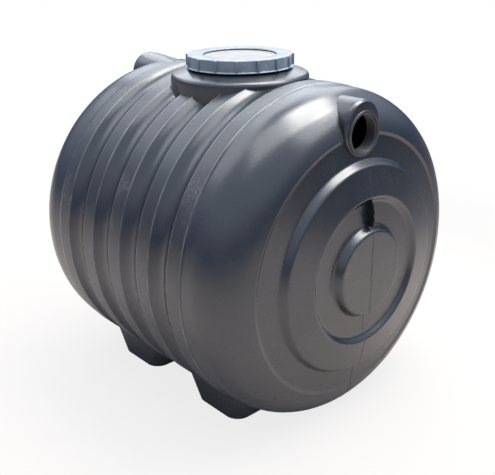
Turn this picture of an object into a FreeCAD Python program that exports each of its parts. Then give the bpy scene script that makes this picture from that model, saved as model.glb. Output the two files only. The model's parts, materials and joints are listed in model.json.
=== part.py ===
import FreeCAD, Part
import os
from math import cos, radians, sin, sqrt
from FreeCAD import Base

# A horizontal septic tank, blow moulded in black polyethylene.
# X is the tank's axis, with the outlet end at +X. Z is up. Millimetres.
# The origin is the middle of the footprint, on the ground.

os.makedirs("parts", exist_ok=True)

# Barrel
wall = 7.0
crown_radius = 550.0
rib_pitch = 155.0
rib_count = 5
crown_width = 61.0
groove_depth = 18.0
crown_edge_radius = 4.0
seam_angle = 45.0

# Shoulders and ends
shoulder_step = 4.0
shoulder_step_run = 8.0
end_bulge = 64.0
dome_run = 189.0
dome_radius = 120.0
dome_lean = 32.0
dome_band = 125.0
recess_radius = crown_radius - dome_band
recess_depth = 9.0
recess_band = 86.0
land_radius = recess_radius - recess_band
land_height = 42.0
land_band = 106.0
hollow_radius = land_radius - land_band
hollow_depth = 15.0
hollow_band = 77.0
disc_radius = hollow_radius - hollow_band
disc_height = 16.0
ring_slope = 8.0
plate_margin = 24.0
ring_edge_radius = 9.0

# Manhole neck and deck
throat_radius = 152.0
deck_band = 88.0
neck_radius = throat_radius + deck_band
neck_edge_radius = 14.0
deck_height = 12.0
throat_wall = 9.0
throat_height = 27.0

# Cover
cover_thickness = 9.0
cover_rim = 5.0
gasket_height = 4.0
gasket_width = 7.0
seat_gap = 0.3
ring_clearance = 15.0
ring_height = 40.0
ring_flange = 6.0
ring_window_radius = 122.0
ring_wall = 9.0
ring_outer_radius = throat_radius + ring_clearance + ring_wall
grip_count = 16
grip_width = 12.0
grip_depth = 6.0

# Pipe sockets
boss_radius = 76.0
boss_rise = 23.0
boss_stand = 14.0
outlet_drop = 119.0
outlet_height = crown_radius - outlet_drop
inlet_rise = 32.0
inlet_height = outlet_height + inlet_rise
boss_edge_radius = 9.0
pipe_radius = 55.2
seal_body_radius = 63.0
seal_flange_radius = 69.0
seal_flange_thickness = 5.0
seal_lip = 5.0

# Flattened underside and feet
flattening = 25.0
axis_height = crown_radius - flattening
foot_thickness = 10.0
foot_length = 222.0
foot_middle = 228.0
foot_inset = 212.0
foot_half_width = crown_radius - foot_inset
foot_flare = 80.0
foot_rise = 125.0
foot_corner_radius = 50.0

# Moulding fin left in the hollow of each end
fin_thickness = 5.0
fin_reach = 28.0

flat_depth = axis_height - foot_thickness
rib_span = (rib_count - 1) * rib_pitch / 2.0
crown_half = crown_width / 2.0
rib_end = rib_span + crown_half
barrel_end = rib_end - crown_edge_radius
dome_reach = barrel_end + dome_run
end_reach = dome_reach + end_bulge
boss_reach = dome_reach + boss_stand
deck_level = crown_radius + deck_height
X_AXIS = Base.Vector(1, 0, 0)
Z_AXIS = Base.Vector(0, 0, 1)
CENTRE = Base.Vector(0, 0, 0)
FAR_REACH = 2000.0


def section_point(x, radius):
    return Base.Vector(x, 0, radius)


def rounded_path(corners):
    """Edges along the corners (x, radius, rounding), each corner rounded."""
    points = [section_point(x, r) for x, r, _ in corners]
    edges = []
    last = points[0]
    for index in range(1, len(points) - 1):
        corner = points[index]
        back = (points[index - 1] - corner).normalize()
        ahead = (points[index + 1] - corner).normalize()
        rounding = corners[index][2]
        half = back.getAngle(ahead) / 2.0
        run = rounding * cos(half) / sin(half)
        start = corner + back * run
        end = corner + ahead * run
        middle_way = (back + ahead).normalize()
        middle = corner + middle_way * (rounding / sin(half) - rounding)
        if (start - last).Length > 1e-6:
            edges.append(Part.LineSegment(last, start).toShape())
        edges.append(Part.Arc(start, middle, end).toShape())
        last = end
    edges.append(Part.LineSegment(last, points[-1]).toShape())
    return edges


def groove_edges(middle_x):
    """One groove between two ribs: a shallow arc with rounded crown edges."""
    half = rib_pitch / 2.0 - crown_half
    groove_radius = (half ** 2 + groove_depth ** 2) / (2.0 * groove_depth)
    centre_r = crown_radius - groove_depth + groove_radius
    edge_r = crown_radius - crown_edge_radius
    reach = groove_radius + crown_edge_radius
    offset = sqrt(reach ** 2 - (centre_r - edge_r) ** 2)
    centre = section_point(middle_x, centre_r)
    edges = []
    touches = []
    for side in (-1, 1):
        edge_centre = section_point(middle_x + side * offset, edge_r)
        crown_point = edge_centre + Z_AXIS * crown_edge_radius
        touch = edge_centre + (centre - edge_centre).normalize() * crown_edge_radius
        between = ((crown_point + touch) * 0.5 - edge_centre).normalize()
        arc = Part.Arc(crown_point, edge_centre + between * crown_edge_radius, touch)
        edges.append(arc.toShape())
        touches.append(touch)
    bottom = section_point(middle_x, crown_radius - groove_depth)
    floor = Part.Arc(touches[0], bottom, touches[1]).toShape()
    return [edges[0], floor, edges[1]], offset


def barrel_top_edges():
    """The outer outline over the ribs, from the far rib to the near one."""
    edges = []
    last = section_point(-rib_end + crown_edge_radius, crown_radius)
    for index in range(rib_count - 1):
        middle_x = -rib_span + rib_pitch * (index + 0.5)
        groove, offset = groove_edges(middle_x)
        crown_point = section_point(middle_x - offset, crown_radius)
        edges.append(Part.LineSegment(last, crown_point).toShape())
        edges.extend(groove)
        last = section_point(middle_x + offset, crown_radius)
    end = section_point(rib_end - crown_edge_radius, crown_radius)
    edges.append(Part.LineSegment(last, end).toShape())
    return edges


def end_edges():
    """The outer outline of the near end, from the last rib to the axis."""
    shoulder_r = crown_radius - shoulder_step
    recess_x = dome_reach - recess_depth
    land_x = recess_x + land_height
    hollow_x = end_reach - hollow_depth
    disc_x = hollow_x + disc_height
    soft = ring_edge_radius
    corners = [
        (rib_end - crown_edge_radius, crown_radius, 0),
        (rib_end + shoulder_step_run, shoulder_r, crown_edge_radius),
        (dome_reach - dome_lean, shoulder_r, dome_radius),
        (dome_reach, recess_radius, soft),
        (recess_x, recess_radius - 2.0 * ring_slope, soft),
        (recess_x, land_radius + ring_slope, soft),
        (land_x, land_radius - ring_slope, 2.0 * soft),
        (end_reach - 2.0, hollow_radius + ring_slope, soft),
        (hollow_x - 2.0, hollow_radius - ring_slope, soft),
        (hollow_x, disc_radius + ring_slope, soft),
        (disc_x, disc_radius - ring_slope, soft),
        (disc_x, 0, 0),
    ]
    return rounded_path(corners)


def mirrored(edges, normal):
    shape = Part.makeCompound(edges)
    return shape.mirror(CENTRE, normal).Edges


def outline_face():
    """The whole lengthwise section of the tank, as a filled face."""
    upper = barrel_top_edges() + end_edges() + mirrored(end_edges(), X_AXIS)
    outline = upper + mirrored(upper, Z_AXIS)
    wire = Part.Wire(Part.__sortEdges__(outline))
    return Part.Face(wire)


def slab(x0, x1, y0, y1, z0, z1):
    box = Part.makeBox(x1 - x0, y1 - y0, z1 - z0, Base.Vector(x0, y0, z0))
    return box


def half_section(face, x0, x1):
    """The part of a section face above the axis, between two places."""
    window = slab(x0, x1, -1.0, 1.0, 0.0, FAR_REACH)
    return face.common(window)


def turned(face, start, sweep):
    """A section face turned about the axis. Angle 0 is up, and 90 is the front."""
    placed = face.copy()
    placed.rotate(CENTRE, X_AXIS, start)
    return placed.revolve(CENTRE, X_AXIS, sweep)


def one_solid(shape):
    """The shape's single solid, with split faces joined."""
    clean = shape.removeSplitter()
    solids = clean.Solids
    if len(solids) == 1:
        return solids[0]
    return Part.makeCompound(solids)


def level_disc(radius, z0, z1):
    return Part.makeCylinder(radius, z1 - z0, Base.Vector(0, 0, z0), Z_AXIS)


def level_ring(outer, inner, z0, z1):
    return level_disc(outer, z0, z1).cut(level_disc(inner, z0 - 1.0, z1 + 1.0))


def raised_drum(side, height, radius, root, face):
    """A drum about a pipe, with its top half raised, between two places."""
    edges = []
    for way in (1, -1):
        level = height + (boss_rise if way > 0 else 0.0)
        ends = [Base.Vector(side * root, way * y * radius, level) for y in (1, -1)]
        crown = Base.Vector(side * root, 0, level + way * radius)
        edges.append(Part.Arc(ends[0], crown, ends[1]).toShape())
    for index in (0, 1):
        low = edges[1].Vertexes[1 - index].Point
        edges.append(Part.LineSegment(edges[0].Vertexes[index].Point, low).toShape())
    outline = Part.Face(Part.Wire(Part.__sortEdges__(edges)))
    return outline.extrude(X_AXIS * side * (face - root))


def boss_outer(side, height, root):
    """The filled outer form of a pipe socket, from its root to its face."""
    form = raised_drum(side, height, boss_radius, root, boss_reach)
    face_x = side * boss_reach
    rim = [e for e in form.Edges if abs(e.BoundBox.XMin + e.BoundBox.XMax - 2.0 * face_x) < 1e-3]
    return form.makeFillet(boss_edge_radius, rim)


def boss_solid(side, height, cavity):
    """A moulded pipe socket: a short drum with the seal's hole in its face."""
    inside = raised_drum(
        side, height, boss_radius - wall, barrel_end - 1.0, boss_reach - wall
    )
    hole = Part.makeCylinder(
        seal_body_radius, FAR_REACH, Base.Vector(0, 0, height), X_AXIS * side
    )
    return boss_outer(side, height, barrel_end).cut([inside, hole, cavity])


def seal_solid(side, height):
    """A rubber pipe seal: a flange outside, a body in the hole and a lip inside."""
    back = boss_reach - wall - seal_lip
    front = boss_reach + seal_flange_thickness
    ways = X_AXIS * side

    def drum(radius, x0, x1):
        return Part.makeCylinder(radius, x1 - x0, Base.Vector(side * x0, 0, height), ways)

    body = drum(seal_body_radius, back, front)
    body = body.fuse(drum(seal_flange_radius, boss_reach, front))
    body = body.fuse(drum(seal_flange_radius - 2.0, back, boss_reach - wall))
    body = body.cut(drum(pipe_radius, back - 1.0, front + 1.0))
    return body.removeSplitter()


def rounded_rectangle(middle_x, half_x, half_y, corner, z):
    """A level rectangle with round corners, as a closed wire."""
    inner_x = half_x - corner
    inner_y = half_y - corner
    diagonal = corner * sin(radians(45.0))
    edges = []
    quarters = ((1, 1), (-1, 1), (-1, -1), (1, -1))
    for index, (sx, sy) in enumerate(quarters):
        centre = Base.Vector(middle_x + sx * inner_x, sy * inner_y, z)
        along_x = centre + Base.Vector(sx * corner, 0, 0)
        along_y = centre + Base.Vector(0, sy * corner, 0)
        middle = centre + Base.Vector(sx * diagonal, sy * diagonal, 0)
        first, last = (along_x, along_y) if index % 2 == 0 else (along_y, along_x)
        if edges:
            edges.append(Part.LineSegment(previous, first).toShape())
        else:
            opening = first
        edges.append(Part.Arc(first, middle, last).toShape())
        previous = last
    edges.append(Part.LineSegment(previous, opening).toShape())
    return Part.Wire(edges)


def flared_block(middle_x, inset, low, high):
    """A block that widens upward along the tank."""
    half = foot_length / 2.0 - inset
    width = foot_half_width - inset
    corner = foot_corner_radius - inset
    base = rounded_rectangle(middle_x, half, width, corner, low)
    top = rounded_rectangle(middle_x, half + foot_flare, width, corner, high)
    return Part.makeLoft([base, top], True, True)


def foot_solid(side, outer_form):
    """A moulded foot: a bar under the flat, hollow where it stands out at the sides."""
    low = -axis_height
    high = low + foot_rise
    outer = flared_block(side * foot_middle, 0.0, low, high)
    inner = flared_block(side * foot_middle, wall, low + foot_thickness, high + 1.0)
    return one_solid(outer.cut([inner, outer_form]))


def above(level):
    """Everything above a level, as a cutting block."""
    return slab(-FAR_REACH, FAR_REACH, -FAR_REACH, FAR_REACH, level, FAR_REACH)


def wedge(start, sweep, x0, x1):
    """A sector about the tank's axis between two places."""
    section = Part.makePolygon([
        section_point(x0, 0), section_point(x1, 0),
        section_point(x1, FAR_REACH), section_point(x0, FAR_REACH), section_point(x0, 0),
    ])
    return turned(Part.Face(section), start, sweep)


def fin_solid(side):
    """The thin web left by the mould between the hollow and the centre disc."""
    hollow_x = end_reach - hollow_depth
    low = disc_radius
    high = hollow_radius
    fin = slab(
        hollow_x - 3.0, hollow_x + fin_reach,
        -fin_thickness / 2.0, fin_thickness / 2.0, low, high,
    )
    if side < 0:
        fin = fin.mirror(CENTRE, X_AXIS)
    return fin


def grip_blocks():
    """The finger grips round the screw ring."""
    top = ring_top_level()
    blocks = []
    for index in range(grip_count):
        block = slab(
            ring_outer_radius - 4.0, ring_outer_radius + grip_depth,
            -grip_width / 2.0, grip_width / 2.0, top - ring_height, top,
        )
        block.rotate(CENTRE, Z_AXIS, 360.0 * index / grip_count)
        blocks.append(block)
    return blocks


def throat_top_level():
    return deck_level + throat_height


def cover_base_level():
    return throat_top_level() + gasket_height + seat_gap


def ring_top_level():
    return cover_base_level() + cover_thickness + seat_gap + ring_flange


def screw_ring_solid():
    """The screw ring: a skirt over the throat and a flange over the cover's rim."""
    top = ring_top_level()
    low = top - ring_height
    flange_base = top - ring_flange
    ring = level_disc(ring_outer_radius, low, top)
    inner = ring_outer_radius - ring_wall
    ring = ring.cut(level_disc(inner, low - 1.0, flange_base))
    ring = ring.cut(level_disc(ring_window_radius, low, top + 1.0))
    return one_solid(ring.fuse(grip_blocks()))


def cover_solid():
    """The flat cover, held down at its rim."""
    base = cover_base_level()
    plate = level_disc(throat_radius + cover_rim, base, base + cover_thickness)
    return plate


def gasket_solid():
    low = throat_top_level()
    return level_ring(
        throat_radius - 1.0, throat_radius - 1.0 - gasket_width, low, low + gasket_height
    )


def build():
    """Every node of the tank, by name, about the tank's axis."""
    outer_face = outline_face()
    inner_wire = outer_face.makeOffset2D(-wall)
    inner_face = inner_wire if inner_wire.Faces else Part.Face(inner_wire.Wires[0])
    skin = outer_face.cut(inner_face)
    outer_form = turned(half_section(outer_face, -FAR_REACH, FAR_REACH), 0, 360)
    cavity = turned(half_section(inner_face, -FAR_REACH, FAR_REACH), 0, 360)
    outer_form = outer_form.common(above(-flat_depth))
    cavity = cavity.common(above(-flat_depth + wall))
    shell = outer_form.cut(cavity)
    split = barrel_end
    nodes = {}

    barrel = half_section(skin, -split, split)
    names = ["front_upper", "front_lower", "front_bottom", "back_bottom", "back_lower", "back_upper"]
    for index, name in enumerate(names):
        start = seam_angle + index * seam_angle
        if name.endswith("bottom"):
            piece = shell.common(wedge(start, seam_angle, -split, split))
        else:
            piece = turned(barrel, start, seam_angle)
        nodes["barrel_" + name] = one_solid(piece)

    neck_form = level_disc(neck_radius, 0.0, FAR_REACH)
    mid = neck_radius
    for name, x0, x1 in (("top_near", mid, split), ("top_far", -split, -mid)):
        piece = turned(half_section(skin, x0, x1), -seam_angle, 2.0 * seam_angle)
        nodes["barrel_" + name] = one_solid(piece)
    for name, start in (("top_front", 0.0), ("top_back", -seam_angle)):
        piece = turned(half_section(skin, -mid, mid), start, seam_angle)
        nodes["barrel_" + name] = one_solid(piece.cut(neck_form))

    ends = (("near", 1, "outlet", outlet_height), ("far", -1, "inlet", inlet_height))
    for end, side, pipe, height in ends:
        boss = boss_outer(side, height, barrel_end - boss_edge_radius)
        plate_edge = land_radius + plate_margin
        x0, x1 = (split, FAR_REACH) if side > 0 else (-FAR_REACH, -split)
        section = half_section(skin, x0, x1)
        window = slab(-FAR_REACH, FAR_REACH, -1.0, 1.0, plate_edge, FAR_REACH)
        shoulder = section.common(window)
        plate = section.cut(window)
        for index, name in enumerate(("top", "front", "bottom", "back")):
            start = -seam_angle + 2.0 * seam_angle * index
            piece = turned(shoulder, start, 2.0 * seam_angle)
            if name == "top":
                piece = piece.cut(boss)
            if name == "bottom":
                sector = wedge(start, 2.0 * seam_angle, x0, x1)
                piece = shell.common(sector).cut(turned(plate, 0, 360))
            nodes[end + "_shoulder_" + name] = one_solid(piece)
        nodes[end + "_end"] = one_solid(turned(plate, 0, 360).cut(boss))
        nodes[pipe + "_socket"] = one_solid(boss_solid(side, height, cavity))
        nodes[pipe + "_seal"] = seal_solid(side, height)
        nodes[end + "_fin"] = fin_solid(side).cut(outer_form)

    nodes["near_foot"] = foot_solid(1, outer_form)
    nodes["far_foot"] = foot_solid(-1, outer_form)

    neck = level_disc(neck_radius, 0.0, deck_level)
    top_edge = [e for e in neck.Edges if abs(e.BoundBox.ZMin - deck_level) < 1e-3]
    neck = neck.makeFillet(neck_edge_radius, [e for e in top_edge if len(e.Vertexes) == 1])
    neck = neck.cut(level_disc(neck_radius - wall, -1.0, deck_level - wall))
    neck = neck.cut(level_disc(throat_radius - throat_wall, 0.0, deck_level + 1.0))
    neck = neck.cut(cavity)
    for index, name in enumerate(("near", "back", "far", "front")):
        quarter = Part.makeCylinder(2.0 * neck_radius, FAR_REACH, CENTRE, Z_AXIS, 90.0)
        quarter.rotate(CENTRE, Z_AXIS, -45.0 + 90.0 * index)
        nodes["neck_" + name] = one_solid(neck.common(quarter))
    nodes["throat"] = level_ring(
        throat_radius, throat_radius - throat_wall, deck_level, throat_top_level()
    )
    nodes["cover_gasket"] = gasket_solid()
    nodes["cover"] = cover_solid()
    nodes["screw_ring"] = screw_ring_solid()
    return nodes


for node_name, node_shape in build().items():
    node_shape.translate(Z_AXIS * axis_height)
    node_shape.exportStep("parts/" + node_name + ".step")
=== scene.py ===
import bmesh
import bpy
import json
import random
from math import atan2, copysign, cos, hypot, pi, radians, sin, sqrt
from mathutils import Matrix, Vector, noise


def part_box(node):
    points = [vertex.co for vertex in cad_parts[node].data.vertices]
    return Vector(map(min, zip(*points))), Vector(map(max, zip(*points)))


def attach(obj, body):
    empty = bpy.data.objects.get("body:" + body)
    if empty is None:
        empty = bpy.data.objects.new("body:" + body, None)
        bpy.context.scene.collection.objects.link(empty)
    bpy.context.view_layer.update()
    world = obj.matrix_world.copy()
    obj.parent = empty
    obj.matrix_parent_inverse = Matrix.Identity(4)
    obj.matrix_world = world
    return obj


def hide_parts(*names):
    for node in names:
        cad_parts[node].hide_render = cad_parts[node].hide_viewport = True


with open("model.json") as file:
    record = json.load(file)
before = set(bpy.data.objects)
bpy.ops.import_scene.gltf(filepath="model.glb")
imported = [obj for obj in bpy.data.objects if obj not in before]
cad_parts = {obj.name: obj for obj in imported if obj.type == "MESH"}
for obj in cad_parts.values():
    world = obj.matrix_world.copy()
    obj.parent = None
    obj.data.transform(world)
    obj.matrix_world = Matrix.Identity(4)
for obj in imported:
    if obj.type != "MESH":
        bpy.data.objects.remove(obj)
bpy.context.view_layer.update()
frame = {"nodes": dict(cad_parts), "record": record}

# A horizontal septic tank of black polyethylene, in metres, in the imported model's frame.
# The tank's axis runs along x, and z is 0 at the soles of the feet.

# Barrel and shoulders
axis_height = 0.525
underside_level = 0.010
wall = 0.007
crown_radius = 0.550
crown_half = 0.0305
crown_edge_radius = 0.004
rib_pitch = 0.155
rib_count = 5
groove_depth = 0.018
shoulder_step = 0.004
shoulder_step_run = 0.008
dome_run = 0.200
dome_radius = 0.155
dome_lean = 0.044
rib_end = (rib_count - 1) * rib_pitch / 2.0 + crown_half
barrel_end = rib_end - crown_edge_radius
dome_reach = barrel_end + dome_run

# Stepped ends
end_bulge = 0.054
rim_radius = 0.432
crease_radius = 0.420
crease_depth = 0.003
cone_rise = 0.0115
land_radius = 0.350
land_height = 0.0235
land_slope = 0.014
hollow_radius = 0.233
hollow_depth = 0.015
hollow_set_back = 0.002
disc_radius = 0.137
disc_height = 0.026
disc_slope = 0.013
ring_slope = 0.008
ring_edge_radius = 0.009
end_reach = dome_reach + end_bulge
hollow_x = end_reach - hollow_depth
disc_x = hollow_x + disc_height

# Neck and throat
neck_radius = 0.233
neck_edge_radius = 0.016
neck_skirt = 0.030
neck_root_depth = 0.003
deck_flat = 0.178
deck_fall = 0.012
deck_level = crown_radius + 0.012
throat_inner = 0.143
throat_clearance = 0.003

# Pipe sockets and their seals
boss_radius = 0.076
boss_rise = 0.023
boss_reach = dome_reach + 0.008
outlet_height = crown_radius - 0.119
inlet_height = outlet_height + 0.032
hood_start = 0.500
hood_inside = 0.068
hood_root_radius = crown_radius - 0.009
root_overlap = 0.010
nose_radius = 0.020
seal_seat = 0.0632
seal_radius = 0.069
seal_face = boss_reach + 0.005

# Fineness of the meshes
outline_gap = 0.0065
lining_gap = 0.05
surface_gap = 0.004
arc_step = radians(12.0)
shell_turns = 240
lining_turns = 72
neck_turns = 192
ring_turns = 160
cover_turns = 128
seal_turns = 96
tiny = 1e-6

# Unevenness of the moulded surface
waviness = 0.0011
end_waviness = 0.54 * waviness
swell_scale = 5.0
ripple_scale = 13.0

# Camera, fitted to the photograph
camera_place = (1.9260, -1.6962, axis_height + 0.973)
camera_yaw = radians(138.24)
camera_pitch = radians(21.84)
camera_roll = radians(0.79)
camera_lens = 54.78

white = (1.0, 1.0, 1.0, 1.0)

random.seed(4)


def sampled(start, end, gap):
    """Points from start to just before end, about a gap apart."""
    steps = max(1, int((end - start).length / gap + 0.5))
    return [start.lerp(end, i / steps) for i in range(steps)]


def rounded_path(corners, gap):
    """Points along corners (x, radius, rounding), each corner rounded."""
    places = [Vector((x, r)) for x, r, _ in corners]
    last = places[0]
    path = []
    for index in range(1, len(places) - 1):
        corner = places[index]
        back = (places[index - 1] - corner).normalized()
        ahead = (places[index + 1] - corner).normalized()
        half = back.angle(ahead) / 2.0
        rounding = corners[index][2]
        run = rounding * cos(half) / sin(half)
        start = corner + back * run
        end = corner + ahead * run
        centre = corner + (back + ahead).normalized() * (rounding / sin(half))
        path += sampled(last, start, gap)
        sweep = (start - centre).angle_signed(end - centre)
        steps = max(3, int(abs(sweep) * rounding / gap), int(abs(sweep) / arc_step))
        for step in range(steps):
            spoke = start - centre
            spoke.rotate(Matrix.Rotation(-sweep * step / steps, 2))
            path.append(centre + spoke)
        last = end
    path += sampled(last, places[-1], gap)
    path.append(places[-1])
    return path


def groove_points(middle, gap):
    """The floor of one groove and its two rounded edges, as points."""
    half = rib_pitch / 2.0 - crown_half
    radius = (half ** 2 + groove_depth ** 2) / (2.0 * groove_depth)
    centre_r = crown_radius - groove_depth + radius
    edge_r = crown_radius - crown_edge_radius
    offset = sqrt((radius + crown_edge_radius) ** 2 - (centre_r - edge_r) ** 2)
    lean = atan2(offset, centre_r - edge_r)
    edge_steps = 4
    edge = []
    for step in range(edge_steps + 1):
        turn = lean * step / edge_steps
        x = -offset + crown_edge_radius * sin(turn)
        edge.append(Vector((middle + x, edge_r + crown_edge_radius * cos(turn))))
    floor = []
    steps = int(2.0 * lean * radius / gap)
    for step in range(1, steps):
        turn = lean * (2.0 * step / steps - 1.0)
        floor.append(Vector((middle + radius * sin(turn), centre_r - radius * cos(turn))))
    far_edge = [Vector((2.0 * middle - p.x, p.y)) for p in edge[::-1]]
    return edge + floor + far_edge


def barrel_points(gap):
    """The outline over the ribs, from the middle of the tank to the last rib."""
    points = [Vector((0.0, crown_radius))]
    for index in range(rib_count // 2):
        groove = groove_points(rib_pitch * (index + 0.5), gap)
        points += sampled(points.pop(), groove[0], gap) + groove
    points += sampled(points.pop(), Vector((barrel_end, crown_radius)), gap)
    return points


def end_points(gap):
    """The outline of one end, from the last rib to the axis."""
    shoulder_r = crown_radius - shoulder_step
    crease_x = dome_reach - crease_depth
    cone_end_x = crease_x + cone_rise
    soft = ring_edge_radius
    fine = crown_edge_radius
    corners = [
        (barrel_end, crown_radius, 0),
        (rib_end + shoulder_step_run, shoulder_r, fine),
        (dome_reach - dome_lean, shoulder_r, dome_radius),
        (dome_reach, rim_radius, fine),
        (crease_x, crease_radius, fine),
        (cone_end_x, land_radius, soft),
        (cone_end_x + land_height, land_radius - land_slope, soft),
        (end_reach - hollow_set_back, hollow_radius + ring_slope, soft),
        (hollow_x - hollow_set_back, hollow_radius - ring_slope, soft),
        (hollow_x, disc_radius + disc_slope, soft),
        (disc_x, disc_radius, soft),
        (disc_x, 0, 0),
    ]
    return rounded_path(corners, gap)


def tank_outline():
    """The whole outline, from the far end's centre to the near end's centre."""
    near = barrel_points(outline_gap) + end_points(outline_gap)
    far = [Vector((-p.x, p.y)) for p in near[:0:-1]]
    return far + near


def add_object(name, mesh_maker, body, replaced=()):
    """A piece from a bmesh, riding on a body where one is named."""
    mesh = bpy.data.meshes.new(name)
    mesh_maker.normal_update()
    mesh_maker.to_mesh(mesh)
    mesh_maker.free()
    piece = bpy.data.objects.new(name, mesh)
    bpy.context.scene.collection.objects.link(piece)
    if body:
        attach(piece, body)
    if replaced:
        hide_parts(*replaced)
    return piece


def smooth(piece, angle):
    """Smooth shading, with edges past the angle in degrees kept sharp."""
    for face in piece.data.polygons:
        face.use_smooth = True
    piece.data.set_sharp_from_angle(angle=radians(angle))


def lathe(maker, rows, turns, place, closed_rows=False):
    """Turns rows of (a, b) into rings of points with place(a, b, angle), and faces between."""
    rings = []
    for a, b in rows:
        if abs(b) < tiny:
            rings.append([maker.verts.new(place(a, 0.0, 0.0))])
            continue
        rings.append([maker.verts.new(place(a, b, 2.0 * pi * t / turns)) for t in range(turns)])
    pairs = list(zip(rings, rings[1:]))
    if closed_rows:
        pairs.append((rings[-1], rings[0]))
    for one, two in pairs:
        for t in range(turns):
            n = (t + 1) % turns
            if len(one) == 1:
                maker.faces.new((one[0], two[t], two[n]))
            elif len(two) == 1:
                maker.faces.new((one[t], two[0], one[n]))
            else:
                maker.faces.new((one[t], two[t], two[n], one[n]))


def bridge(maker, one, two):
    """Faces between two closed rings of as many points."""
    for index in range(len(one)):
        following = (index + 1) % len(one)
        maker.faces.new((one[index], one[following], two[following], two[index]))


def about_axis(x, r, angle):
    """A place about the tank's axis. Angle 0 is up."""
    return Vector((x, -r * sin(angle), axis_height + r * cos(angle)))


def about_manhole(z, r, angle):
    """A place about the upright axis of the manhole."""
    return Vector((r * cos(angle), r * sin(angle), z))


def moulded(x, r, angle):
    """The shell's outer surface: slightly wavy, and flat underneath."""
    spot = about_axis(x, r, angle)
    sway = noise.noise(spot * swell_scale) + 0.5 * noise.noise(spot * ripple_scale)
    r -= waviness * min(1.0, max(0.0, 0.5 + 0.6 * sway)) * min(1.0, r / 0.05)
    place = about_axis(x, r, angle)
    if abs(x) > dome_reach - dome_lean:
        place.x -= copysign(end_waviness, x) * (1.0 + 0.5 * sway)
    place.z = max(place.z, underside_level)
    return place


def lined(x, r, angle):
    """The shell's inner surface, plain and closed."""
    place = about_axis(x, r, angle)
    place.z = max(place.z, underside_level + wall)
    return place


def socket_outline(height, low_r, high_r, rise, steps):
    """The outline of a pipe socket in y and z: a low arc, and a high one raised above it."""
    points = []
    for step in range(steps + 1):
        turn = pi * step / steps
        points.append((high_r * cos(turn), axis_height + height + rise + high_r * sin(turn)))
    for step in range(steps + 1):
        turn = pi + pi * step / steps
        points.append((low_r * cos(turn), axis_height + height + low_r * sin(turn)))
    return points


def openings_cutter():
    """One mesh of the manhole's and the two sockets' openings, to cut the shell."""
    maker = bmesh.new()
    radius = throat_inner + throat_clearance
    hole = bmesh.ops.create_cone(
        maker, cap_ends=True, segments=96, radius1=radius, radius2=radius, depth=0.3
    )
    bmesh.ops.translate(maker, vec=(0, 0, axis_height + crown_radius), verts=hole["verts"])
    inside = boss_radius - wall / 2.0
    for side, height in ((1.0, outlet_height), (-1.0, inlet_height)):
        outline = socket_outline(height, inside, inside, boss_rise, 24)
        inner = [maker.verts.new((side * 0.36, y, z)) for y, z in outline]
        outer = [maker.verts.new((side * 0.62, y, z)) for y, z in outline]
        bridge(maker, inner, outer)
        maker.faces.new(inner)
        maker.faces.new(outer)
    bmesh.ops.recalc_face_normals(maker, faces=maker.faces)
    return add_object("openings_cutter", maker, None)


def cut(piece, tool):
    """Cuts the tool's form out of the piece, and removes the tool."""
    step = piece.modifiers.new("openings", "BOOLEAN")
    step.operation = "DIFFERENCE"
    step.object = tool
    step.solver = "EXACT"
    bpy.context.view_layer.update()
    evaluated = piece.evaluated_get(bpy.context.evaluated_depsgraph_get())
    result = bpy.data.meshes.new_from_object(evaluated)
    piece.modifiers.clear()
    piece.data = result
    bpy.data.objects.remove(tool)


def make_shell():
    """The barrel, shoulders and ends as one moulded shell with its lining."""
    maker = bmesh.new()
    lathe(maker, [(p.x, p.y) for p in tank_outline()], shell_turns, moulded)
    inner_r = crown_radius - groove_depth - wall
    inner_x = dome_reach - crease_depth - wall
    rounding = 0.15
    corners = [
        (-inner_x, 0, 0), (-inner_x, inner_r, rounding),
        (inner_x, inner_r, rounding), (inner_x, 0, 0),
    ]
    lining = rounded_path(corners, lining_gap)
    lathe(maker, [(p.x, p.y) for p in lining[::-1]], lining_turns, lined)
    walls = [
        n for n in frame["nodes"]
        if n.startswith("barrel") or "shoulder" in n or n.endswith("_end")
    ]
    shell = add_object("tank_shell", maker, "tank", sorted(walls))
    cut(shell, openings_cutter())
    smooth(shell, 40.0)
    return shell


def end_surface(r, outline):
    """How far out along the axis the end's surface lies at a radius."""
    for one, two in zip(outline, outline[1:]):
        if two.y <= r <= one.y and one.y > two.y:
            return one.x + (two.x - one.x) * (one.y - r) / (one.y - two.y)
    return outline[0].x


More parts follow.
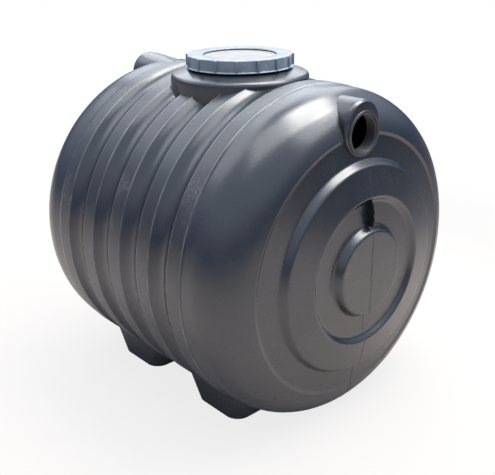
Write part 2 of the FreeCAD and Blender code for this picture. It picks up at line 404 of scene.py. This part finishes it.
def make_socket(name, side, height, node):
    """A moulded pipe socket: a hood that narrows to a rounded rim, open for the seal.

    Its stations are (x, low radius, high radius, rise), from the root outside, round
    the nose and back inside. A station without an x ends in the shell.
    """
    hood = (boss_radius, boss_radius, boss_rise)
    seat = (seal_seat, seal_seat, 0.0)
    bore = (hood_inside, hood_inside, boss_rise)
    stations = [(None, *hood), (hood_start, *hood)]
    nose_steps = 9
    for step in range(nose_steps + 1):
        turn = pi / 2.0 * step / nose_steps
        inward = 1.0 - cos(turn)
        stations.append((
            boss_reach - nose_radius + nose_radius * sin(turn), boss_radius - 0.0055 * inward,
            boss_radius - 0.0150 * inward, boss_rise + 0.0075 * inward,
        ))
    stations += [
        (boss_reach, *seat), (boss_reach - wall, *seat), (boss_reach - wall, *bore), (None, *bore)
    ]
    surface = end_points(surface_gap)
    maker = bmesh.new()
    rings = []
    for x, low_r, high_r, rise in stations:
        ring = []
        for y, z in socket_outline(height, low_r, high_r, rise, 40):
            r = hypot(y, z - axis_height)
            if x is None and r > hood_root_radius:
                y *= hood_root_radius / r
                z = axis_height + (z - axis_height) * hood_root_radius / r
            root = end_surface(r, surface) - root_overlap
            place = root if x is None else max(x, root)
            ring.append(maker.verts.new((side * place, y, z)))
        rings.append(ring)
    for one, two in zip(rings, rings[1:]):
        bridge(maker, one, two)
    bmesh.ops.remove_doubles(maker, verts=maker.verts, dist=tiny)
    bmesh.ops.recalc_face_normals(maker, faces=maker.faces)
    socket = add_object(name, maker, "tank", (node,))
    smooth(socket, 50.0)
    return socket


def make_neck():
    """The manhole neck: a deck that falls outwards, on a wall that drops into the grooves."""
    z_top = axis_height + deck_level
    z_edge = z_top - deck_fall
    slope = atan2(deck_fall, neck_radius - neck_edge_radius - deck_flat)
    inner = neck_radius - wall
    steps = 8
    rows = [(0.0, neck_radius), (z_edge - neck_skirt, neck_radius)]
    for step in range(steps + 1):
        turn = (pi / 2.0 - slope) * step / steps
        rows.append((
            z_edge - neck_edge_radius + neck_edge_radius * sin(turn),
            neck_radius - neck_edge_radius + neck_edge_radius * cos(turn),
        ))
    rows += [(z_top - 0.0006, deck_flat + 0.004), (z_top, deck_flat)]
    for step in range(1, steps + 1):
        rows.append((z_top, deck_flat - (deck_flat - throat_inner) * step / steps))
    rows += [(z_top - wall, throat_inner), (z_edge - neck_edge_radius, inner), (0.0, inner)]
    root_radius = crown_radius - groove_depth - neck_root_depth

    def place(z, r, angle):
        """A place about the manhole. Level 0 stands for the root in the grooves."""
        if z == 0.0:
            z = axis_height + sqrt(root_radius ** 2 - (r * sin(angle)) ** 2)
        return about_manhole(z, r, angle)

    maker = bmesh.new()
    lathe(maker, rows, neck_turns, place, closed_rows=True)
    bmesh.ops.recalc_face_normals(maker, faces=maker.faces)
    names = [n for n in frame["nodes"] if n.startswith("neck_")]
    neck = add_object("tank_neck", maker, "tank", sorted(names))
    smooth(neck, 40.0)
    return neck


def interrupts_line(spot):
    """Whether the neck or a pipe socket takes the parting line's place on the tank's top."""
    height = outlet_height if spot.x > 0.0 else inlet_height
    socket_z = axis_height + height + boss_rise / 2.0
    near_socket = abs(spot.z - socket_z) < boss_radius + boss_rise / 2.0
    return abs(spot.x) < neck_radius or (abs(spot.x) > 0.45 and near_socket)


def make_parting_line():
    """The fine flash line where the two halves of the mould met."""
    maker = bmesh.new()
    half = 0.0016
    rise = 0.0010
    root = 0.0012
    outline = tank_outline()
    for turn in (0.0, pi):
        rows = []
        for index, p in enumerate(outline):
            before = outline[max(index - 1, 0)]
            after = outline[min(index + 1, len(outline) - 1)]
            along = (after - before).normalized()
            out = Vector((-along.y, along.x))
            foot = (p - out * root, underside_level + 0.0003)
            top = (p + out * (rise - waviness), underside_level - rise)
            ends = []
            for (q, lowest), side in ((foot, -1.0), (top, 0.0), (foot, 1.0)):
                spot = about_axis(q.x, max(q.y, 0.0), turn)
                spot.y += side * half
                spot.z = max(spot.z, lowest)
                ends.append(maker.verts.new(spot))
            rows.append(ends)
        for one, two in zip(rows, rows[1:]):
            if turn == 0.0 and interrupts_line(one[1].co):
                continue
            maker.faces.new((one[0], one[1], two[1], two[0]))
            maker.faces.new((one[1], one[2], two[2], two[1]))
    loose = [v for v in maker.verts if not v.link_faces]
    bmesh.ops.delete(maker, geom=loose, context="VERTS")
    bmesh.ops.recalc_face_normals(maker, faces=maker.faces)
    line = add_object("parting_line", maker, "tank")
    return line


def make_torn_fin():
    """The web left in the hollow of the near end, with a torn outer edge."""
    maker = bmesh.new()
    low = axis_height + disc_radius + disc_slope
    high = axis_height + hollow_radius + 0.012
    root = hollow_x - 0.006
    root_half = 0.0021
    edge_half = 0.0014
    edge_run = 0.003
    steps = 40
    rows = []
    for step in range(steps + 1):
        share = step / steps
        z = low + (high - low) * share
        reach = hollow_x + 0.010 + 0.0175 * sin(pi * min(1.0, 0.25 + 0.72 * share))
        reach -= 0.0035 * random.random() + 0.001
        curl = 0.0016 * noise.noise(Vector((z * 60.0, 0.0, 0.0)))
        section = (
            (root, -root_half), (reach - edge_run, curl - edge_half), (reach, curl * 2.0),
            (reach - edge_run, curl + edge_half), (root, root_half),
        )
        rows.append([maker.verts.new((x, y, z)) for x, y in section])
    for one, two in zip(rows, rows[1:]):
        for index in range(len(one) - 1):
            maker.faces.new((one[index], one[index + 1], two[index + 1], two[index]))
    maker.faces.new(rows[0])
    maker.faces.new(rows[-1][::-1])
    bmesh.ops.recalc_face_normals(maker, faces=maker.faces)
    fin = add_object("torn_fin", maker, "tank", ("near_fin",))
    return fin


def turned_rows(rows):
    """Rows of a closed profile, each corner (level, radius, rounding) rounded."""
    path = []
    steps = 4
    for index, (a, b, rounding) in enumerate(rows):
        corner = Vector((a, b))
        if rounding <= 0.0:
            path.append(corner)
            continue
        back = Vector(rows[index - 1][:2]) - corner
        ahead = Vector(rows[(index + 1) % len(rows)][:2]) - corner
        half = back.angle(ahead) / 2.0
        back.normalize()
        ahead.normalize()
        run = rounding * cos(half) / sin(half)
        centre = corner + (back + ahead).normalized() * (rounding / sin(half))
        start = corner + back * run - centre
        end = corner + ahead * run - centre
        for step in range(steps + 1):
            spoke = start.slerp(end, step / steps, start).normalized()
            path.append(centre + spoke * rounding)
    return [(p.x, p.y) for p in path]


def node_levels(node):
    """The lowest and the highest z of a CAD node."""
    low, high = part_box(node)
    return low[2], high[2]


def add_grip(maker, radius, low, top, turn):
    """Adds one rounded finger grip, upright against the screw ring's wall."""
    grip = bmesh.new()
    bmesh.ops.create_cube(grip, size=1.0)
    bmesh.ops.scale(grip, vec=(0.010, 0.008, top - low - 0.001), verts=grip.verts)
    upright = [e for e in grip.edges if abs(e.verts[0].co.z - e.verts[1].co.z) > 0.01]
    bmesh.ops.bevel(grip, geom=upright, offset=0.0022, segments=3, affect="EDGES", profile=0.5)
    level = [e for e in grip.edges if abs(e.verts[0].co.z - e.verts[1].co.z) < tiny]
    bmesh.ops.bevel(grip, geom=level, offset=0.0012, segments=2, affect="EDGES", profile=0.5)
    bmesh.ops.translate(grip, vec=(radius, 0, (top + low) / 2.0), verts=grip.verts)
    bmesh.ops.rotate(grip, matrix=Matrix.Rotation(turn, 3, "Z"), verts=grip.verts)
    mesh = bpy.data.meshes.new("grip")
    grip.to_mesh(mesh)
    grip.free()
    maker.from_mesh(mesh)
    bpy.data.meshes.remove(mesh)


def make_screw_ring():
    """The grey screw ring, with rounded grips, a lip below and a sunk inner edge."""
    low, top = node_levels("screw_ring")
    grip_count = 16
    outer = 0.176
    inner = outer - 0.009
    lip = outer + 0.0045
    window = 0.122
    sunk = top - 0.0015
    flange = top - 0.006
    rows = turned_rows([
        (low, lip, 0.0012), (low + 0.0035, lip, 0.0012), (low + 0.0040, outer, 0.0006),
        (top - 0.003, outer, 0.0), (top, outer - 0.001, 0.002), (top, window + 0.010, 0.001),
        (sunk, window + 0.008, 0.0008), (sunk, window, 0.0015), (flange, window, 0.0012),
        (flange, inner, 0.0), (low, inner, 0.001),
    ])
    maker = bmesh.new()
    lathe(maker, rows, ring_turns, about_manhole, closed_rows=True)
    for index in range(grip_count):
        add_grip(maker, outer + 0.001, low, top, 2.0 * pi * index / grip_count)
    bmesh.ops.recalc_face_normals(maker, faces=maker.faces)
    ring = add_object("screw_ring_moulded", maker, "ring", ("screw_ring",))
    smooth(ring, 32.0)
    return ring


def make_cover():
    """The pale cover: a plain disc with a bare round panel."""
    low, top = node_levels("cover")
    outer = 0.157
    trough = top - 0.0018
    panel = top - 0.0006
    soft = 0.001
    rows = turned_rows([
        (low, outer, soft), (top, outer, soft), (top, 0.112, soft), (trough, 0.109, soft),
        (trough, 0.101, soft), (panel, 0.099, soft), (panel, 0.030, 0.0),
    ])
    maker = bmesh.new()
    lathe(maker, rows + [(panel, 0.0)], cover_turns, about_manhole)
    lathe(maker, [(low, outer - soft), (low, 0.0)], cover_turns, about_manhole)
    bmesh.ops.remove_doubles(maker, verts=maker.verts, dist=tiny)
    bmesh.ops.recalc_face_normals(maker, faces=maker.faces)
    cover = add_object("cover_plate", maker, "cover", ("cover",))
    smooth(cover, 32.0)
    return cover


def make_seal(name, side, height, node):
    """A rubber pipe seal: a rounded flange, a reeded throat and a soft inner lip."""
    reed_count = 5
    reed_pitch = 0.0075
    valley = 0.0572
    reed = 0.0548
    back = seal_face - 0.0435
    rows = [
        (boss_reach, seal_seat, 0.0), (boss_reach, seal_radius, 0.0012),
        (seal_face, seal_radius - 0.0015, 0.0018), (seal_face, 0.0590, 0.0018),
        (seal_face - 0.0050, 0.0575, 0.0008),
    ]
    for index in range(reed_count):
        x = seal_face - 0.0060 - reed_pitch * index
        rows += [
            (x, valley, 0.0006), (x - 0.0012, reed, 0.0008), (x - 0.0038, reed, 0.0008),
            (x - 0.0050, valley, 0.0006),
        ]
    rows += [(back, 0.0575, 0.0006), (back, 0.0600, 0.0006), (boss_reach - wall, 0.0628, 0.0)]

    def place(x, r, angle):
        """A place about the socket's own axis."""
        return Vector((side * x, r * sin(angle), axis_height + height + r * cos(angle)))

    maker = bmesh.new()
    lathe(maker, turned_rows(rows), seal_turns, place, closed_rows=True)
    bmesh.ops.recalc_face_normals(maker, faces=maker.faces)
    seal = add_object(name, maker, "tank", (node,))
    smooth(seal, 32.0)
    return seal


class NodeTree:
    """The nodes of a material or a world, with short calls for the kinds used here."""

    def __init__(self, data, space):
        self.data = data
        self.data.use_nodes = True
        self.nodes = data.node_tree.nodes
        self.links = data.node_tree.links
        self.place = self.nodes.new("ShaderNodeTexCoord").outputs[space]

    def feed(self, socket, value):
        """Sets a socket to a plain value, or links another node's output to it."""
        if isinstance(value, (float, tuple)):
            socket.default_value = value
        else:
            self.links.new(value, socket)

    def noise(self, scale, detail=3.0, rough=0.5, vector=None):
        node = self.nodes.new("ShaderNodeTexNoise")
        node.inputs["Scale"].default_value = scale
        node.inputs["Detail"].default_value = detail
        node.inputs["Roughness"].default_value = rough
        self.links.new(vector or self.place, node.inputs["Vector"])
        return node.outputs["Fac"]

    def ramp(self, value, low, high, start=0.0, end=1.0, kind="SMOOTHSTEP"):
        """Runs from start to end as the value goes from low to high."""
        node = self.nodes.new("ShaderNodeMapRange")
        node.interpolation_type = kind
        ends = (("From Min", low), ("From Max", high), ("To Min", start), ("To Max", end))
        for name, number in ends:
            node.inputs[name].default_value = number
        self.links.new(value, node.inputs["Value"])
        return node.outputs["Result"]

    def math(self, kind, one, two=0.0):
        node = self.nodes.new("ShaderNodeMath")
        node.operation = kind
        self.feed(node.inputs[0], one)
        self.feed(node.inputs[1], two)
        return node.outputs["Value"]

    def times(self, one, *others):
        for other in others:
            one = self.math("MULTIPLY", one, other)
        return one

    def plus(self, one, *others):
        for other in others:
            one = self.math("ADD", one, other)
        return one

    def mix(self, factor, one, two):
        """The colour one, turning into the colour two with the factor."""
        node = self.nodes.new("ShaderNodeMix")
        node.data_type = "RGBA"
        self.feed(node.inputs["Factor"], factor)
        colours = [s for s in node.inputs if s.type == "RGBA"]
        self.feed(colours[0], one)
        self.feed(colours[1], two)
        return [s for s in node.outputs if s.type == "RGBA"][0]

    def part(self, axis):
        """One coordinate of the place."""
        node = self.nodes.new("ShaderNodeSeparateXYZ")
        self.links.new(self.place, node.inputs["Vector"])
        return node.outputs[axis]

    def scaled(self, scale, shift=(0.0, 0.0, 0.0)):
        """The place, scaled and then shifted."""
        node = self.nodes.new("ShaderNodeMapping")
        node.inputs["Scale"].default_value = scale
        node.inputs["Location"].default_value = shift
        self.links.new(self.place, node.inputs["Vector"])
        return node.outputs["Vector"]

    def length(self, vector):
        node = self.nodes.new("ShaderNodeVectorMath")
        node.operation = "LENGTH"
        self.links.new(vector, node.inputs[0])
        return node.outputs["Value"]

    def seen(self):
        """A factor that is 1 for what the camera sees itself."""
        path = self.nodes.new("ShaderNodeLightPath")
        return self.math(
            "MAXIMUM", path.outputs["Is Camera Ray"], path.outputs["Is Transmission Ray"]
        )


class Material(NodeTree):
    """A node material on the Principled shader."""

    def __init__(self, name):
        super().__init__(bpy.data.materials.new(name), "Object")
        self.shader = self.nodes["Principled BSDF"]

    def set(self, name, value):
        self.feed(self.shader.inputs[name], value)

    def bump(self, height, strength, distance, normal=None):
        node = self.nodes.new("ShaderNodeBump")
        node.inputs["Strength"].default_value = strength
        node.inputs["Distance"].default_value = distance
        self.links.new(height, node.inputs["Height"])
        if normal:
            self.links.new(normal, node.inputs["Normal"])
        return node.outputs["Normal"]

    def soft_edges(self, radius):
        node = self.nodes.new("ShaderNodeBevel")
        node.samples = 6
        node.inputs["Radius"].default_value = radius
        return node.outputs["Normal"]


def grey(level, blue=1.0):
    """A dark tone, bluer where blue is over 1."""
    return (level, level * (0.5 + 0.5 * blue), level * blue, 1.0)


def black_polyethylene():
    """Satin black plastic, scuffed along the ribs, with pale rib edges that are partly wear and
    partly a painted highlight, and a painted dark line of shade along the mould's parting line.
    """
    m = Material("black_polyethylene")
    x = m.part("X")
    y = m.part("Y")
    z = m.part("Z")
    radius = m.length(m.scaled((0.0, 1.0, 1.0), (0.0, 0.0, -axis_height)))

    # Where the ribs' crowns and their edges are
    on_barrel = m.ramp(m.math("ABSOLUTE", x), barrel_end + 0.008, barrel_end + 0.004)
    on_ribs = m.times(on_barrel, m.ramp(radius, 0.5530, 0.5514))
    crown = m.times(m.ramp(radius, 0.5455, 0.5488), on_ribs)
    across = m.math("PINGPONG", m.plus(x, rib_pitch * 4.0), rib_pitch / 2.0)
    from_edge = m.math("ABSOLUTE", m.math("SUBTRACT", across, crown_half - 0.0010))
    edge = m.times(m.ramp(from_edge, 0.0034, 0.0008), on_ribs, m.ramp(radius, 0.543, 0.547))

    # The plastic itself, cloudy and finely grained
    cloud = m.ramp(m.noise(3.2, 5.0, 0.6), 0.35, 0.65)
    fine = m.ramp(m.noise(46.0, 4.0, 0.6), 0.55, 0.8, 0.0, 0.20)
    grain = m.ramp(m.noise(210.0, 2.0, 0.6), 0.45, 0.70, 0.0, 0.25)
    base = m.mix(cloud, grey(0.009, 1.90), grey(0.015, 1.70))
    base = m.mix(fine, base, grey(0.035, 1.15))
    base = m.mix(m.times(crown, grain), base, grey(0.050, 1.10))

    # Pale rib edges, partly wear and partly a painted highlight on the rounded edges, made stronger
    # towards the top; and speckled scuffs
    # painted highlight: the edges are lightened, and more so higher up the tank
    wear_and_highlight = m.plus(
        m.ramp(m.noise(11.0, 4.0), 0.35, 0.65, 0.12, 0.55),
        m.ramp(z, axis_height + 0.20, axis_height + 0.48, 0.0, 0.40),
    )
    base = m.mix(m.times(edge, wear_and_highlight), base, grey(0.20, 1.05))
    patches = m.ramp(m.noise(6.0, 4.0, 0.6), 0.50, 0.62)
    speckle = m.ramp(m.noise(1.0, 3.0, 0.6, m.scaled((300.0, 130.0, 130.0))), 0.50, 0.62)
    scuff = m.times(patches, speckle, m.plus(m.times(crown, 0.75), 0.03))
    base = m.mix(m.times(scuff, 0.60), base, grey(0.20, 1.10))

    # The parting line down the near end, below the outlet, painted as a dark line: painted shade of
    # a crease along the seam
    drift = m.ramp(m.noise(9.0, 2.0), 0.3, 0.7, -0.0012, 0.0012)
    off_line = m.math("ABSOLUTE", m.plus(y, drift))
    line_top = axis_height + outlet_height - boss_radius - 0.004
    line = m.times(
        m.ramp(off_line, 0.0024, 0.0010), m.ramp(x, barrel_end, dome_reach - 0.03),
        m.ramp(z, line_top + 0.004, line_top),
    )
    # painted shade: near-black along the parting line
    base = m.mix(m.times(line, 0.85), base, grey(0.004, 1.3))
    m.set("Base Color", base)

    gloss = m.ramp(m.noise(5.0, 4.0, 0.6), 0.3, 0.7, 0.23, 0.31)
    rough = m.plus(gloss, m.times(scuff, 0.25), m.times(crown, 0.08), m.times(line, 0.35))
    m.set("Roughness", rough)
    m.set("Specular IOR Level", 1.0)
    normal = m.soft_edges(0.0010)
    normal = m.bump(m.noise(4.0, 2.0), 0.12, 0.006, normal)
    normal = m.bump(m.noise(170.0, 2.0), 0.08, 0.0008, normal)
    m.set("Normal", normal)
    return m.data


def grey_plastic():
    """Blue-grey moulded plastic of the screw ring, with painted shade on the inner wall of its
    window and a painted highlight along its lower lip.
    """
    m = Material("grey_ring_plastic")
    cloud = m.ramp(m.noise(14.0, 4.0, 0.6), 0.35, 0.7)
    base = m.mix(cloud, (0.140, 0.172, 0.200, 1.0), (0.195, 0.230, 0.258, 1.0))
    specks = m.ramp(m.noise(120.0, 3.0), 0.62, 0.75, 0.0, 0.3)
    base = m.mix(specks, base, (0.42, 0.45, 0.48, 1.0))
    # painted shade: the window's inner wall is darkened as it stands in shadow
    window_shade = m.ramp(m.length(m.scaled((1.0, 1.0, 0.0))), 0.1262, 0.1238)
    base = m.mix(window_shade, base, (0.060, 0.030, 0.050, 1.0))
    low, _ = node_levels("screw_ring")
    # painted highlight: the lower lip is made paler, as a light line along its edge
    lip_highlight = m.ramp(m.part("Z"), low + 0.0046, low + 0.0034, 0.0, 0.8)
    base = m.mix(lip_highlight, base, (0.52, 0.58, 0.64, 1.0))
    m.set("Base Color", base)
    m.set("Roughness", m.ramp(m.noise(30.0, 3.0), 0.3, 0.7, 0.28, 0.40))
    m.set("Normal", m.bump(m.noise(220.0, 2.0), 0.08, 0.0006, m.soft_edges(0.0010)))
    return m.data


def pale_plastic():
    """Pale plastic of the cover."""
    m = Material("pale_cover_plastic")
    cloud = m.ramp(m.noise(9.0, 5.0, 0.6), 0.4, 0.75)
    m.set("Base Color", m.mix(cloud, (0.285, 0.284, 0.272, 1.0), (0.250, 0.251, 0.245, 1.0)))
    m.set("Roughness", m.ramp(m.noise(40.0, 3.0), 0.3, 0.7, 0.55, 0.65))
    m.set("Specular IOR Level", 0.15)
    m.set("Normal", m.bump(m.noise(180.0, 2.0), 0.08, 0.0006))
    return m.data


def black_rubber():
    """Dull black rubber of the seals."""
    m = Material("black_rubber")
    cloud = m.ramp(m.noise(24.0, 4.0), 0.35, 0.7)
    m.set("Base Color", m.mix(cloud, grey(0.016, 1.3), grey(0.030, 1.2)))
    m.set("Roughness", m.ramp(m.noise(60.0, 3.0), 0.3, 0.7, 0.30, 0.42))
    m.set("Specular IOR Level", 0.9)
    m.set("Normal", m.bump(m.noise(300.0, 2.0), 0.12, 0.0005))
    return m.data


def shaded_fin_polyethylene():
    """Dull black plastic of the torn fin, darker than the tank's own: painted shade, as the fin
    stands in shadow.
    """
    m = Material("shaded_fin_polyethylene")
    cloud = m.ramp(m.noise(60.0, 4.0), 0.4, 0.7)
    # painted shade: the fin's plastic is made near-black
    m.set("Base Color", m.mix(cloud, grey(0.004, 1.8), grey(0.012, 1.6)))
    m.set("Roughness", m.ramp(m.noise(90.0, 3.0), 0.3, 0.7, 0.45, 0.65))
    m.set("Specular IOR Level", 0.3)
    m.set("Normal", m.bump(m.noise(120.0, 3.0), 0.5, 0.0015))
    return m.data


def dress(pieces, materials):
    """Gives every CAD node and every new piece its finish."""
    for row in frame["record"]["subparts"]:
        node = frame["nodes"][row["node"]]
        node.data.materials.clear()
        node.data.materials.append(materials[row["material_slot"]])
    for piece, finish in pieces:
        piece.data.materials.clear()
        piece.data.materials.append(materials[finish])


def make_floor():
    """A pale floor: it keeps the tank's shadow and fades to white further out."""
    maker = bmesh.new()
    bmesh.ops.create_grid(maker, x_segments=1, y_segments=1, size=40.0)
    floor = add_object("floor", maker, None)
    m = Material("pale_floor")
    beyond = m.ramp(m.part("Y"), 1.0, 2.4, kind="LINEAR")
    m.set("Base Color", m.mix(beyond, (0.60, 0.52, 0.46, 1.0), (0.20, 0.18, 0.18, 1.0)))
    m.set("Roughness", 0.9)
    glow = m.nodes.new("ShaderNodeEmission")
    glow.inputs["Color"].default_value = white
    fade = m.ramp(m.length(m.place), 1.2, 2.6, 0.80, 1.0)
    blend = m.nodes.new("ShaderNodeMixShader")
    m.links.new(m.times(m.seen(), fade), blend.inputs["Fac"])
    m.links.new(m.shader.outputs["BSDF"], blend.inputs[1])
    m.links.new(glow.outputs["Emission"], blend.inputs[2])
    m.links.new(blend.outputs["Shader"], m.nodes["Material Output"].inputs["Surface"])
    floor.data.materials.append(m.data)


def make_world():
    """A soft sky: white where the camera sees it, and blue and darker low down elsewhere."""
    world = bpy.data.worlds.new("pale_sky")
    bpy.context.scene.world = world
    m = NodeTree(world, "Generated")
    height = m.ramp(m.part("Z"), 0.04, 0.46, kind="LINEAR")
    sky = m.mix(height, (0.09, 0.12, 0.24, 1.0), (0.72, 0.80, 1.0, 1.0))
    back = m.nodes["Background"]
    m.feed(back.inputs["Color"], m.mix(m.seen(), sky, white))
    back.inputs["Strength"].default_value = 1.0


def area_light(name, place, aim, size, power, colour):
    """A rectangular light that faces the place aimed at."""
    data = bpy.data.lights.new(name, "AREA")
    data.shape = "RECTANGLE"
    data.size, data.size_y = size
    data.energy = power
    data.color = colour
    lamp = bpy.data.objects.new(name, data)
    lamp.location = place
    lamp.rotation_euler = (Vector(aim) - Vector(place)).to_track_quat("-Z", "Y").to_euler()
    bpy.context.scene.collection.objects.link(lamp)


def make_lights():
    """One strong high light beyond the tank, and weaker cool ones around it."""
    middle = (0.3, -0.1, axis_height + 0.3)
    warm = (1.0, 0.98, 0.95)
    cool = (0.94, 0.97, 1.0)
    area_light("high", (0.5, 1.4, 4.6), middle, (3.0, 2.2), 205.0, warm)
    area_light("overhead", (0.1, -0.5, 4.4), middle, (2.6, 2.4), 50.0, cool)
    area_light("veil", (2.6, 2.0, 4.4), middle, (3.0, 2.4), 85.0, cool)
    area_light("behind", (-2.4, 2.0, 3.2), middle, (3.4, 2.4), 62.0, cool)
    area_light("low", (-3.0, 2.7, 1.9), middle, (3.0, 1.2), 9.0, cool)
    area_light("left", (-2.8, -0.9, 3.9), middle, (3.0, 2.4), 30.0, cool)


def make_camera():
    """The camera at the photograph's viewing angle."""
    ahead = Vector((
        cos(camera_yaw) * cos(camera_pitch), sin(camera_yaw) * cos(camera_pitch), -sin(camera_pitch)
    ))
    right = Vector((sin(camera_yaw), -cos(camera_yaw), 0.0))
    down = ahead.cross(right)
    right_rolled = cos(camera_roll) * right + sin(camera_roll) * down
    down_rolled = -sin(camera_roll) * right + cos(camera_roll) * down
    data = bpy.data.cameras.new("photo_camera")
    data.lens = camera_lens
    data.sensor_width = 36.0
    data.clip_end = 60.0
    camera = bpy.data.objects.new("photo_camera", data)
    turn = Matrix((right_rolled, -down_rolled, -ahead)).transposed()
    camera.matrix_world = Matrix.Translation(camera_place) @ turn.to_4x4()
    bpy.context.scene.collection.objects.link(camera)
    bpy.context.scene.camera = camera


finishes = {
    "tank": black_polyethylene(),
    "ring": grey_plastic(),
    "cover": pale_plastic(),
    "rubber": black_rubber(),
    "shaded_fin": shaded_fin_polyethylene(),
}
made = [
    (make_shell(), "tank"),
    (make_socket("outlet_hood", 1.0, outlet_height, "outlet_socket"), "tank"),
    (make_socket("inlet_hood", -1.0, inlet_height, "inlet_socket"), "tank"),
    (make_neck(), "tank"),
    (make_parting_line(), "tank"),
    (make_torn_fin(), "shaded_fin"),
    (make_screw_ring(), "ring"),
    (make_cover(), "cover"),
    (make_seal("outlet_pipe_seal", 1.0, outlet_height, "outlet_seal"), "rubber"),
    (make_seal("inlet_pipe_seal", -1.0, inlet_height, "inlet_seal"), "rubber"),
]
dress(made, finishes)
make_floor()
make_world()
make_lights()
make_camera()
bpy.context.scene.view_settings.view_transform = "Standard"
